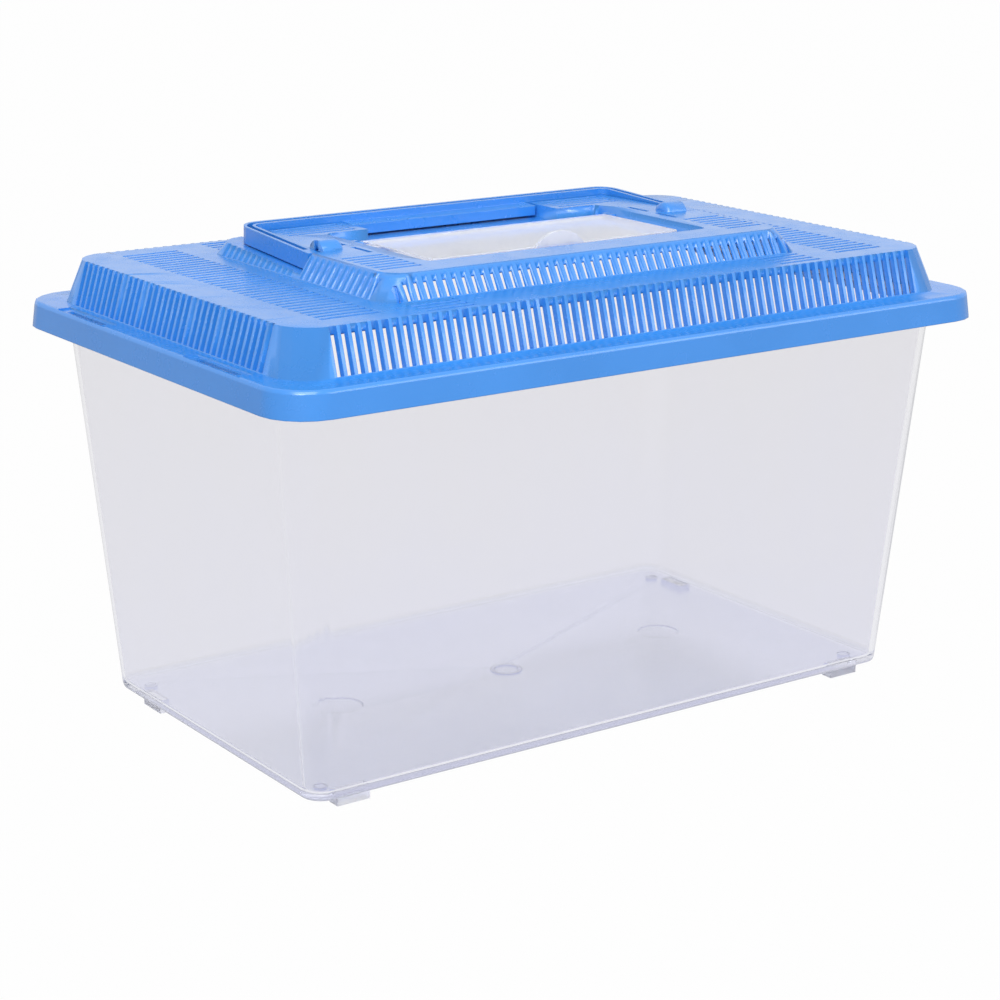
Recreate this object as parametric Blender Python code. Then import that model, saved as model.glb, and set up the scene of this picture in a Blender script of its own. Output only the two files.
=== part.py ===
"""Plastic aquarium: a clear tapered tub with a blue vented lid, a folding carry handle and a clear hatch.

Run with: blender --background --python part.py
Metres, +Z up. The origin is on the floor under the middle of the tub. +X runs along the long side,
and the hatch's finger tab faces -Y.
"""

import math

import bmesh
import bpy
from mathutils import Matrix, Vector

OBJECT_NAME = "plastic_aquarium"

# Gaps and cutter overruns shared by all pieces
SEAT_GAP = 0.0003
OVERRUN = 0.0010
CORNER_SEGMENTS = 5
ROUND_SEGMENTS = 20

# Tub
FOOT_HEIGHT = 0.0035
FOOT_LENGTH = 0.0128
FOOT_WIDTH = 0.0052
FRONT_FOOT_REACH = 0.1110
REAR_FOOT_REACH = 0.0490
FOOT_INSET = 0.0012
PEG_RADIUS = 0.0024
PEG_HEIGHT = 0.0020
PEG_INSET = 0.0100
PEG_DEPTH_INSET = 0.0125
TANK_HEIGHT = 0.1451
TANK_FLOOR_LENGTH = 0.2570
TANK_FLOOR_DEPTH = 0.1450
MOUTH_SIDE_INSET = 0.0098
MOUTH_FRONT_INSET = 0.0132
TANK_WALL = 0.0020
TANK_FLOOR = 0.0024
TANK_FLOOR_RADIUS = 0.0080
TANK_MOUTH_RADIUS = 0.0120
TANK_EDGE_ROUND = 0.0020
RIM_THICKNESS = 0.0020
RIM_LIP_HEIGHT = 0.0050
RIM_LIP_WALL = 0.0018
RIM_CORNER_RADIUS = 0.0135
GATE_RADIUS = 0.0060
GATE_WALL = 0.0014
GATE_HEIGHT = 0.0010
MARK_RADIUS = 0.0080
MARK_SPREAD = 0.1480
MARK_DEPTH = 0.0003

# Lid: skirt, ledge, grille block and raised tier
LID_LENGTH = 0.3000
LID_DEPTH = 0.1940
LID_WALL = 0.0016
LID_CORNER_RADIUS = 0.0165
LID_EDGE_ROUND = 0.0014
LID_RIM_CLEARANCE = 0.0012
SKIRT_HEIGHT = 0.0095
SKIRT_DRAFT = 0.0008
LEDGE_SIDE_WIDTH = 0.0091
LEDGE_FRONT_WIDTH = 0.0125
BLOCK_HEIGHT = 0.0155
BLOCK_LEAN = 0.0046
BLOCK_CORNER_RADIUS = 0.0135
BLOCK_PLAIN_CORNER = 0.0175
SHOULDER_WIDTH = 0.0499
TIER_DEPTH = 0.1210
TIER_HEIGHT = 0.0085
TIER_LEAN = 0.0045
TIER_CORNER_RADIUS = 0.0100
TIER_PLAIN_CORNER = 0.0065
TIER_PLAIN_SIDE_END = 0.0110

# Lid: vent slots, wide at the outer face and narrow at the inner one
SLOT_PITCH = 0.00384
ROW_PITCH = 0.00402
SLOT_MOUTH = 0.0027
SLOT_THROAT = 0.0020
SLOT_OVERRUN = 0.0005
SLOT_FOOT = 0.0003
SLOT_RISE = 0.0032
SLOT_RUNOUT = 0.0061
GROOVE_DEPTH = 0.0011
TOP_SLOT_MOUTH = 0.0021
TOP_SLOT_THROAT = 0.0013
PANEL_INNER_MARGIN = 0.0075
PANEL_OUTER_MARGIN = 0.0158
PANEL_END_MARGIN = 0.0155
BAND_SLOT_LENGTH = 0.0190
BAND_SIDE_MARGIN = 0.0060
BAND_INNER_MARGIN = 0.0025
BAND_OUTER_MARGIN = 0.0048
TIER_FRONT_ROWS = 7
TIER_REAR_ROWS = 4
FRONT_SLOT_LENGTH = 0.0165
FRONT_GROUP_MARGIN = 0.0055
FRONT_GROUP_LEAD = 0.0040
REAR_SLOT_LENGTH = 0.0280
REAR_GROUP_MARGIN = 0.0045
REAR_GROUP_LEAD = 0.0036
KEY_SLOT_LENGTH = 0.0120
KEY_SLOT_WIDTH = 0.0018
KEY_SLOT_OFFSET = 0.0041
KEY_SLOT_REACH = 0.0085

# Lid: snap windows in the ledge and the lugs below them
WINDOW_LENGTH = 0.0270
WINDOW_WIDTH = 0.0036
WINDOW_SPREAD = 0.0940
WINDOW_RECESS_DEPTH = 0.0006
WINDOW_RECESS_MARGIN = 0.0014
WINDOW_RECESS_OVERLENGTH = 0.0100
LUG_HEIGHT = 0.0012
LUG_REACH = 0.0008
LUG_ROOT = 0.0006

# Lid: hatch pocket, its through opening and the finger recess behind it
POCKET_SIDE_MARGIN = 0.0300
POCKET_FRONT = 0.0405
POCKET_REAR = 0.0270
POCKET_DROP = 0.0050
POCKET_RADIUS = 0.0030
OPENING_SIDE_INSET = 0.0085
OPENING_FRONT = 0.0315
OPENING_REAR = 0.0105
OPENING_RADIUS = 0.0050

# Handle: a channel-section bail, folded back
PIVOT_Y = 0.0000
PIVOT_DROP = 0.0017
BAIL_TILT = math.radians(3.1)
BAIL_SIDE_INSET = 0.0050
BAIL_NARROWING = 0.0020
BAIL_REACH = 0.0505
BAIL_TAIL = 0.0035
BAIL_WIDTH = 0.0044
BAIL_ABOVE_PIVOT = 0.0017
BAIL_BELOW_PIVOT = 0.0045
BAIL_CORNER_RADIUS = 0.0080
BAIL_TAIL_ROUND = 0.0025
BAIL_WALL = 0.0012
BAIL_WEB = 0.0016
BAIL_GROOVE_START = 0.0020
BAIL_SEAT_CLEARANCE = 0.0005
BAIL_SIDE_CLEARANCE = 0.0008
BAIL_TAIL_CLEARANCE = 0.0015
GRIP_LENGTH = 0.0830
GRIP_WIDTH = 0.0068
GRIP_STEP = 0.0025
GRIP_WALL = 0.0014
GRIP_CLEARANCE = 0.0012
PIN_RADIUS = 0.0016
PIN_CLEARANCE = 0.0003
BARREL_RADIUS = 0.0050
BARREL_LENGTH = 0.0090
BARREL_STANDOFF = 0.0010
BARREL_DOME = 0.0020
BARREL_FACE_RADIUS = 0.0026
DOME_SEGMENTS = 3
BARREL_END_WALL = 0.0015
BARREL_NECK_WIDTH = 0.0026

# Hatch: a clear tray-shaped door on two rear pins
HATCH_SIDE_ROOM = 0.0065
HATCH_FRONT = 0.0330
HINGE_Y = 0.0126
HATCH_BELOW_TIER = 0.0012
HATCH_PLATE = 0.0018
HATCH_RIM_WALL = 0.0015
HATCH_CORNER_RADIUS = 0.0030
KNUCKLE_RADIUS = 0.0016
HINGE_PIN_RADIUS = 0.0010
HINGE_PIN_LENGTH = 0.0030
EAR_THICKNESS = 0.0030
EAR_LENGTH = 0.0052
EAR_SIDE_GAP = 0.0006
EAR_NECK_WIDTH = 0.0016
TAB_LENGTH = 0.0210
TAB_HEIGHT = 0.0050
TAB_THICKNESS = 0.0015
TAB_SEGMENTS = 10
GUSSET_SPREAD = 0.0110
GUSSET_THICKNESS = 0.0012
GUSSET_LENGTH = 0.0040
GUSSET_HEIGHT = 0.0028

# Sizes and heights that follow from the ones above
TANK_MOUTH_LENGTH = LID_LENGTH - 2 * MOUTH_SIDE_INSET
TANK_MOUTH_DEPTH = LID_DEPTH - 2 * MOUTH_FRONT_INSET
BLOCK_LENGTH = LID_LENGTH - 2 * LEDGE_SIDE_WIDTH
BLOCK_DEPTH = LID_DEPTH - 2 * LEDGE_FRONT_WIDTH
TIER_LENGTH = BLOCK_LENGTH - 2 * SHOULDER_WIDTH
POCKET_LENGTH = TIER_LENGTH - 2 * POCKET_SIDE_MARGIN
OPENING_LENGTH = POCKET_LENGTH - 2 * OPENING_SIDE_INSET
HATCH_LENGTH = POCKET_LENGTH - 2 * HATCH_SIDE_ROOM
BAIL_PIVOT_WIDTH = TIER_LENGTH - 2 * BAIL_SIDE_INSET
RIM_TOP = FOOT_HEIGHT + TANK_HEIGHT
LEDGE_TOP = RIM_TOP + SEAT_GAP + LID_WALL
SKIRT_BOTTOM = LEDGE_TOP - SKIRT_HEIGHT
BLOCK_TOP = LEDGE_TOP + BLOCK_HEIGHT
TIER_TOP = BLOCK_TOP + TIER_HEIGHT
POCKET_FLOOR = TIER_TOP - POCKET_DROP
PIVOT_Z = TIER_TOP - PIVOT_DROP
HATCH_TOP = TIER_TOP - HATCH_BELOW_TIER
HINGE_Z = HATCH_TOP - KNUCKLE_RADIUS
BARREL_OUTER_X = BAIL_PIVOT_WIDTH / 2 - BAIL_WIDTH - BARREL_STANDOFF

BLUE = (0.072, 0.290, 0.860, 1.0)
CLEAR = (0.860, 0.870, 0.930, 1.0)


def clear_scene():
    """Remove every object, so that the script can run again in the same file."""
    for item in list(bpy.data.objects):
        bpy.data.objects.remove(item, do_unlink=True)


def new_collection(name):
    collection = bpy.data.collections.new(name)
    bpy.context.scene.collection.children.link(collection)
    return collection


def plastic(name, colour, roughness, transmission):
    material = bpy.data.materials.new(name)
    material.use_nodes = True
    shader = material.node_tree.nodes["Principled BSDF"]
    shader.inputs["Base Color"].default_value = colour
    shader.inputs["Roughness"].default_value = roughness
    shader.inputs["Metallic"].default_value = 0.0
    shader.inputs["Transmission Weight"].default_value = transmission
    return material


def to_object(bm, name, collection):
    """Turn a bmesh into a linked object with outward normals."""
    bmesh.ops.recalc_face_normals(bm, faces=bm.faces)
    mesh = bpy.data.meshes.new(name)
    bm.to_mesh(mesh)
    bm.free()
    item = bpy.data.objects.new(name, mesh)
    collection.objects.link(item)
    return item


def as_cutter(item):
    item.hide_render = True
    item.display_type = "WIRE"
    return item


def combine(target, tool, operation):
    """Stack a Boolean on target: DIFFERENCE cuts the tool out, UNION grows the target by it."""
    modifier = target.modifiers.new(tool.name, "BOOLEAN")
    modifier.object = tool
    modifier.operation = operation
    modifier.solver = "EXACT"


def round_corner(before, corner, after, radius):
    """Points of the arc that rounds the corner of a flat outline."""
    to_before = (before - corner).normalized()
    to_after = (after - corner).normalized()
    half_angle = to_before.angle(to_after) / 2
    centre = corner + (to_before + to_after).normalized() * radius / math.sin(half_angle)
    spoke = corner + to_before * radius / math.tan(half_angle) - centre
    turn = math.copysign(math.pi - 2 * half_angle, to_after.cross(to_before))
    return [
        centre + Matrix.Rotation(turn * step / CORNER_SEGMENTS, 2) @ spoke
        for step in range(CORNER_SEGMENTS + 1)
    ]


def rounded_outline(corners, radius):
    """A closed flat outline with every corner rounded alike."""
    points = []
    for index, corner in enumerate(corners):
        after = corners[(index + 1) % len(corners)]
        points.extend(round_corner(corners[index - 1], corner, after, radius))
    return points


def rectangle(low_x, low_y, high_x, high_y):
    return [Vector((low_x, low_y)), Vector((high_x, low_y)), Vector((high_x, high_y)), Vector((low_x, high_y))]


def skin(bm, rings):
    """Join neighbouring rings of vertices with quads and cap the first and last ring."""
    for lower, upper in zip(rings, rings[1:]):
        for index in range(len(lower)):
            after = (index + 1) % len(lower)
            bm.faces.new((lower[index], lower[after], upper[after], upper[index]))
    bm.faces.new(rings[0])
    bm.faces.new(rings[-1])


def loft(name, levels, collection):
    """Skin rounded rectangles, each given as (length, depth, corner radius, height)."""
    bm = bmesh.new()
    rings = []
    for length, depth, radius, height in levels:
        outline = rounded_outline(rectangle(-length / 2, -depth / 2, length / 2, depth / 2), radius)
        rings.append([bm.verts.new((point.x, point.y, height)) for point in outline])
    skin(bm, rings)
    return to_object(bm, name, collection)


def prism(name, outline, low, high, collection):
    """A flat outline carried up from one height to another."""
    bm = bmesh.new()
    base = bm.faces.new([bm.verts.new((point[0], point[1], low)) for point in outline])
    raised = bmesh.ops.extrude_face_region(bm, geom=[base])["geom"]
    lifted = [item for item in raised if isinstance(item, bmesh.types.BMVert)]
    bmesh.ops.translate(bm, vec=(0, 0, high - low), verts=lifted)
    return to_object(bm, name, collection)


def block(name, low, high, collection):
    """A box between two corners."""
    bm = bmesh.new()
    size = Vector(high) - Vector(low)
    middle = (Vector(high) + Vector(low)) / 2
    bmesh.ops.create_cube(bm, size=1.0, matrix=Matrix.Translation(middle) @ Matrix.Diagonal((*size, 1.0)))
    return to_object(bm, name, collection)


def turned_along_x(name, stations, y, z, collection):
    """A round body about an axis along X, skinned through (x, radius) stations."""
    bm = bmesh.new()
    turns = [2 * math.pi * index / ROUND_SEGMENTS for index in range(ROUND_SEGMENTS)]
    rings = []
    for x, radius in stations:
        rings.append([bm.verts.new((x, y + radius * math.cos(t), z + radius * math.sin(t))) for t in turns])
    skin(bm, rings)
    return to_object(bm, name, collection)


def rod_along_x(name, radius, low_x, high_x, y, z, collection):
    """A capped cylinder whose axis runs along X."""
    return turned_along_x(name, [(low_x, radius), (high_x, radius)], y, z, collection)


def smooth(item, angle=math.radians(35)):
    item.data.shade_smooth()
    item.data.set_sharp_from_angle(angle=angle)


def spaced(low, high, pitch):
    """Places between two limits, one pitch apart and centred between them."""
    count = int((high - low) / pitch + 1e-6) + 1
    start = (low + high - (count - 1) * pitch) / 2
    return [start + index * pitch for index in range(count)]


# Tub


def tank_levels():
    """Rings from the outer floor edge up the wall, over the rim and down inside to the inner floor."""
    rim_length = LID_LENGTH - 2 * (LID_WALL + LID_RIM_CLEARANCE)
    rim_depth = LID_DEPTH - 2 * (LID_WALL + LID_RIM_CLEARANCE)
    edge = TANK_EDGE_ROUND
    soft = edge * (1 - math.cos(math.pi / 4))
    under_rim = RIM_TOP - RIM_THICKNESS
    floor = (TANK_FLOOR_LENGTH, TANK_FLOOR_DEPTH, TANK_FLOOR_RADIUS)
    mouth = (TANK_MOUTH_LENGTH, TANK_MOUTH_DEPTH, TANK_MOUTH_RADIUS)

    def ring(shape, margin, height):
        return (shape[0] + 2 * margin, shape[1] + 2 * margin, shape[2] + margin, height)

    rim = (rim_length, rim_depth, RIM_CORNER_RADIUS)
    inner_floor = FOOT_HEIGHT + TANK_FLOOR
    return [
        ring(floor, -edge, FOOT_HEIGHT),
        ring(floor, -soft, FOOT_HEIGHT + soft),
        ring(floor, 0, FOOT_HEIGHT + edge),
        ring(mouth, 0, under_rim),
        ring(rim, -RIM_LIP_WALL, under_rim),
        ring(rim, -RIM_LIP_WALL, RIM_TOP - RIM_LIP_HEIGHT),
        ring(rim, 0, RIM_TOP - RIM_LIP_HEIGHT),
        ring(rim, 0, RIM_TOP),
        ring(mouth, -TANK_WALL, RIM_TOP),
        ring(floor, -TANK_WALL, inner_floor + edge),
        ring(floor, -TANK_WALL - soft, inner_floor + soft),
        ring(floor, -TANK_WALL - edge, inner_floor),
    ]


def disc_outline(middle_x, middle_y, radius):
    turns = [2 * math.pi * index / ROUND_SEGMENTS for index in range(ROUND_SEGMENTS)]
    return [(middle_x + radius * math.cos(turn), middle_y + radius * math.sin(turn)) for turn in turns]


def add_foot(tank, side_x, side_y, cutters):
    """One bar foot, along X at the front and along Y on the sides at the rear, with a round peg further in."""
    half_length = TANK_FLOOR_LENGTH / 2
    half_depth = TANK_FLOOR_DEPTH / 2
    end_inset = TANK_EDGE_ROUND + FOOT_INSET + FOOT_WIDTH / 2
    if side_y < 0:
        middle = (side_x * FRONT_FOOT_REACH, -(half_depth - end_inset))
        half = (FOOT_LENGTH / 2, FOOT_WIDTH / 2)
    else:
        middle = (side_x * (half_length - end_inset), REAR_FOOT_REACH)
        half = (FOOT_WIDTH / 2, FOOT_LENGTH / 2)
    label = f"{'right' if side_x > 0 else 'left'}_{'rear' if side_y > 0 else 'front'}"
    foot = block(
        "foot_" + label, (middle[0] - half[0], middle[1] - half[1], 0),
        (middle[0] + half[0], middle[1] + half[1], FOOT_HEIGHT + OVERRUN), cutters,
    )
    combine(tank, as_cutter(foot), "UNION")
    outline = disc_outline(
        side_x * (half_length - PEG_INSET), side_y * (half_depth - PEG_DEPTH_INSET), PEG_RADIUS
    )
    peg = prism("peg_" + label, outline, FOOT_HEIGHT - PEG_HEIGHT, FOOT_HEIGHT + OVERRUN, cutters)
    combine(tank, as_cutter(peg), "UNION")


def make_tank(parts, cutters):
    """The clear tub: tapered walls, turned-down rim, four feet, gate ring below and two round marks inside."""
    tank = loft("tank", tank_levels(), parts)
    for side_x in (-1, 1):
        for side_y in (-1, 1):
            add_foot(tank, side_x, side_y, cutters)
    low = FOOT_HEIGHT - GATE_HEIGHT
    ring = prism("gate_ring", disc_outline(0, 0, GATE_RADIUS), low, FOOT_HEIGHT + OVERRUN, cutters)
    combine(tank, as_cutter(ring), "UNION")
    well = prism("gate_well", disc_outline(0, 0, GATE_RADIUS - GATE_WALL), low - OVERRUN, FOOT_HEIGHT, cutters)
    combine(tank, as_cutter(well), "DIFFERENCE")
    floor_top = FOOT_HEIGHT + TANK_FLOOR
    for side in (-1, 1):
        outline = disc_outline(side * MARK_SPREAD / 2, 0, MARK_RADIUS)
        mark = prism(f"mark_{side}", outline, floor_top - MARK_DEPTH, floor_top + OVERRUN, cutters)
        combine(tank, as_cutter(mark), "DIFFERENCE")
    tank.data.materials.append(plastic("clear_tub_plastic", CLEAR, 0.05, 0.9))
    smooth(tank)
    return tank


# Lid


def lid_levels():
    """Outer rings of the lid, from the skirt's lower edge up to the tier's flat top."""
    soft = LID_EDGE_ROUND * (1 - math.cos(math.pi / 4))

    def step(shape, lean, low, high, margins):
        length, depth, radius = shape
        top = (length - 2 * lean, depth - 2 * lean)
        rings = [(length, depth, radius, low)]
        for inward, down in margins:
            rings.append((top[0] - 2 * inward, top[1] - 2 * inward, radius - inward, high - down))
        return rings

    crisp = [(0, 0)]
    chamfer = [(0, LID_EDGE_ROUND), (LID_EDGE_ROUND, 0)]
    rounding = [(0, LID_EDGE_ROUND), (soft, soft), (LID_EDGE_ROUND, 0)]
    return [
        *step((LID_LENGTH, LID_DEPTH, LID_CORNER_RADIUS), SKIRT_DRAFT, SKIRT_BOTTOM, LEDGE_TOP, rounding),
        *step((BLOCK_LENGTH, BLOCK_DEPTH, BLOCK_CORNER_RADIUS), BLOCK_LEAN, LEDGE_TOP, BLOCK_TOP, crisp),
        *step((TIER_LENGTH, TIER_DEPTH, TIER_CORNER_RADIUS), TIER_LEAN, BLOCK_TOP, TIER_TOP, chamfer),
    ]


def cavity_levels():
    """Inner rings of the lid: each step's outline shrunk and lowered by the wall."""
    wall = LID_WALL
    return [
        (LID_LENGTH - 2 * wall, LID_DEPTH - 2 * wall, LID_CORNER_RADIUS - wall, SKIRT_BOTTOM - OVERRUN),
        (LID_LENGTH - 2 * wall, LID_DEPTH - 2 * wall, LID_CORNER_RADIUS - wall, LEDGE_TOP - wall),
        (BLOCK_LENGTH - 2 * wall, BLOCK_DEPTH - 2 * wall, BLOCK_CORNER_RADIUS - wall, LEDGE_TOP - wall),
        (BLOCK_LENGTH - 2 * (wall + BLOCK_LEAN), BLOCK_DEPTH - 2 * (wall + BLOCK_LEAN),
         BLOCK_CORNER_RADIUS - wall, BLOCK_TOP - wall),
        (TIER_LENGTH - 2 * wall, TIER_DEPTH - 2 * wall, TIER_CORNER_RADIUS - wall, BLOCK_TOP - wall),
        (TIER_LENGTH - 2 * (wall + TIER_LEAN), TIER_DEPTH - 2 * (wall + TIER_LEAN),
         TIER_CORNER_RADIUS - wall, TIER_TOP - wall),
    ]


def bail_line(offset, front_y):
    """The folded handle's U in plan, offset inwards from its outer face and open at the front."""
    rear_y = BAIL_REACH - offset
    narrowing = BAIL_NARROWING / BAIL_REACH

    def half_width(y):
        return BAIL_PIVOT_WIDTH / 2 - narrowing * y - offset

    corners = [
        Vector((-half_width(front_y), front_y)),
        Vector((-half_width(rear_y), rear_y)),
        Vector((half_width(rear_y), rear_y)),
        Vector((half_width(front_y), front_y)),
    ]
    radius = BAIL_CORNER_RADIUS - offset
    return [
        corners[0],
        *round_corner(corners[0], corners[1], corners[2], radius),
        *round_corner(corners[1], corners[2], corners[3], radius),
        corners[3],
    ]


def make_notch(name, margin, cutters):
    """The space the folded handle lies in: a tilted slab behind the pivots, less the raised core inside the U.

    A margin grows the space by that much on every side.
    """
    front = -BAIL_TAIL - BAIL_TAIL_CLEARANCE - margin
    low = -BAIL_BELOW_PIVOT - BAIL_SEAT_CLEARANCE - margin
    slab = block(name, (-LID_LENGTH / 2, front, low), (LID_LENGTH / 2, LID_DEPTH / 2, TIER_HEIGHT), cutters)
    slab.location = (0, PIVOT_Y, PIVOT_Z)
    slab.rotation_euler.x = BAIL_TILT
    core_offset = BAIL_WIDTH + BAIL_SIDE_CLEARANCE + margin
    outline = [Vector((x, y + PIVOT_Y)) for x, y in bail_line(core_offset, -TIER_DEPTH / 2)]
    core = prism(name + "_core", outline, BLOCK_TOP - BLOCK_HEIGHT, TIER_TOP + TIER_HEIGHT, cutters)
    combine(slab, as_cutter(core), "DIFFERENCE")
    return as_cutter(slab)


def pocket_outline(margin):
    corners = rectangle(
        -POCKET_LENGTH / 2 - margin, -POCKET_FRONT - margin, POCKET_LENGTH / 2 + margin, POCKET_REAR + margin
    )
    return rounded_outline(corners, POCKET_RADIUS + margin)


def recess_outline(margin):
    """The finger recess, from inside the hatch pocket back to the handle's bar."""
    half = GRIP_LENGTH / 2 + GRIP_CLEARANCE + margin
    rear = PIVOT_Y + BAIL_REACH - BAIL_WIDTH + margin
    return rectangle(-half, POCKET_REAR - POCKET_RADIUS, half, rear)


def opening_outline():
    half = OPENING_LENGTH / 2
    return rounded_outline(rectangle(-half, -OPENING_FRONT, half, OPENING_REAR), OPENING_RADIUS)


def slot_cutter(bm, place, low, high, runout, depth, mouth, throat):
    """One slot tool. In place's frame X is across the slot, Y goes into the wall and Z runs along the slot.

    It narrows from mouth to throat with depth, and runout draws in its deep end at the top.
    """
    for vert in bmesh.ops.create_cube(bm, size=1.0)["verts"]:
        deep = vert.co.y > 0
        upper = high - runout if deep else high
        local = Vector((
            math.copysign(throat if deep else mouth, vert.co.x) / 2,
            depth if deep else -SLOT_OVERRUN,
            upper if vert.co.z > 0 else low,
        ))
        vert.co = place @ local


def wall_place(quarter_turns, reach, lean_angle, along, height):
    """Frame at the foot of a leaning wall: 0 quarter turns is the front, 1 the right, 2 the rear, 3 the left."""
    return (
        Matrix.Rotation(quarter_turns * math.pi / 2, 4, "Z")
        @ Matrix.Translation((along, -reach, height))
        @ Matrix.Rotation(-lean_angle, 4, "X")
    )


def add_wall_slots(bm, quarter_turns, reach, lean, foot, height, places):
    """Through slots in a leaning wall, which notch its upper edge."""
    lean_angle = math.atan2(lean, height)
    slope_length = math.hypot(lean, height)
    for along in places:
        place = wall_place(quarter_turns, reach, lean_angle, along, foot)
        slot_cutter(
            bm, place, SLOT_FOOT, slope_length + SLOT_RISE, SLOT_RUNOUT, LID_WALL + SLOT_OVERRUN,
            SLOT_MOUTH, SLOT_THROAT,
        )


def make_block_slots(cutters):
    bm = bmesh.new()
    for quarter_turns in range(4):
        facing = BLOCK_DEPTH if quarter_turns % 2 == 0 else BLOCK_LENGTH
        width = BLOCK_LENGTH if quarter_turns % 2 == 0 else BLOCK_DEPTH
        half = width / 2 - BLOCK_PLAIN_CORNER
        places = spaced(-half, half, SLOT_PITCH)
        add_wall_slots(bm, quarter_turns, facing / 2, BLOCK_LEAN, LEDGE_TOP, BLOCK_HEIGHT, places)
    return as_cutter(to_object(bm, "block_slots", cutters))


def make_tier_slots(cutters):
    """Slots in the tier's front wall and in its side walls ahead of the handle."""
    bm = bmesh.new()
    half = TIER_LENGTH / 2 - TIER_PLAIN_CORNER
    add_wall_slots(bm, 0, TIER_DEPTH / 2, TIER_LEAN, BLOCK_TOP, TIER_HEIGHT, spaced(-half, half, SLOT_PITCH))
    first = -(TIER_DEPTH / 2 - TIER_PLAIN_SIDE_END)
    last = PIVOT_Y - BAIL_TAIL - BAIL_TAIL_CLEARANCE - LID_WALL
    places = spaced(first, last, SLOT_PITCH)
    add_wall_slots(bm, 1, TIER_LENGTH / 2, TIER_LEAN, BLOCK_TOP, TIER_HEIGHT, places)
    mirrored = [-along for along in places]
    add_wall_slots(bm, 3, TIER_LENGTH / 2, TIER_LEAN, BLOCK_TOP, TIER_HEIGHT, mirrored)
    return as_cutter(to_object(bm, "tier_slots", cutters))


def make_seat_grooves(cutters):
    """Short blind grooves in the low wall that carries the folded handle."""
    bm = bmesh.new()
    lean_angle = math.atan2(TIER_LEAN, TIER_HEIGHT)
    half = TIER_LENGTH / 2 - TIER_PLAIN_CORNER
    rear = TIER_DEPTH / 2 - TIER_PLAIN_SIDE_END
    side_places = spaced(PIVOT_Y, rear, SLOT_PITCH)
    rows = [
        (1, TIER_LENGTH / 2, side_places),
        (2, TIER_DEPTH / 2, spaced(-half, half, SLOT_PITCH)),
        (3, TIER_LENGTH / 2, [-along for along in side_places]),
    ]
    for quarter_turns, reach, places in rows:
        for along in places:
            place = wall_place(quarter_turns, reach, lean_angle, along, BLOCK_TOP)
            slot_cutter(bm, place, SLOT_FOOT, TIER_HEIGHT, 0, GROOVE_DEPTH, SLOT_MOUTH, SLOT_THROAT)
    return as_cutter(to_object(bm, "seat_grooves", cutters))


def add_top_slots(bm, top, low_x, high_x, places):
    """Slots along X through a flat top, one for each place along Y."""
    for y in places:
        place = Matrix.Translation((low_x, y, top)) @ Matrix((
            (0, 0, 1, 0), (1, 0, 0, 0), (0, -1, 0, 0), (0, 0, 0, 1),
        ))
        slot_cutter(bm, place, 0, high_x - low_x, 0, LID_WALL + SLOT_OVERRUN, TOP_SLOT_MOUTH, TOP_SLOT_THROAT)


def run_of_rows(first, count):
    return [first + index * ROW_PITCH for index in range(count)]


def make_top_slots(cutters):
    """Slots through the flat tops: side panels, bands before and behind the tier, and four groups on the tier."""
    panel_half = BLOCK_DEPTH / 2 - PANEL_END_MARGIN
    panel_low = TIER_LENGTH / 2 + PANEL_INNER_MARGIN
    panel_high = BLOCK_LENGTH / 2 - BLOCK_LEAN - PANEL_OUTER_MARGIN
    band_high = TIER_LENGTH / 2 - BAND_SIDE_MARGIN
    band_low = band_high - BAND_SLOT_LENGTH
    band_near = TIER_DEPTH / 2 + BAND_INNER_MARGIN
    band_far = BLOCK_DEPTH / 2 - BLOCK_LEAN - BAND_OUTER_MARGIN
    band_rows = spaced(band_near, band_far, ROW_PITCH)
    front_low = POCKET_LENGTH / 2 + FRONT_GROUP_MARGIN
    rear_low = GRIP_LENGTH / 2 + REAR_GROUP_MARGIN
    groups = [
        (BLOCK_TOP, panel_low, panel_high, spaced(-panel_half, panel_half, ROW_PITCH)),
        (BLOCK_TOP, band_low, band_high, band_rows),
        (BLOCK_TOP, band_low, band_high, [-y for y in band_rows]),
        (TIER_TOP, front_low, front_low + FRONT_SLOT_LENGTH,
         run_of_rows(-POCKET_FRONT - FRONT_GROUP_LEAD, TIER_FRONT_ROWS)),
        (TIER_TOP, rear_low, rear_low + REAR_SLOT_LENGTH,
         run_of_rows(POCKET_REAR + REAR_GROUP_LEAD, TIER_REAR_ROWS)),
    ]
    bm = bmesh.new()
    for top, low, high, rows in groups:
        add_top_slots(bm, top, low, high, rows)
        add_top_slots(bm, top, -high, -low, rows)
    return as_cutter(to_object(bm, "top_slots", cutters))


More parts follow.
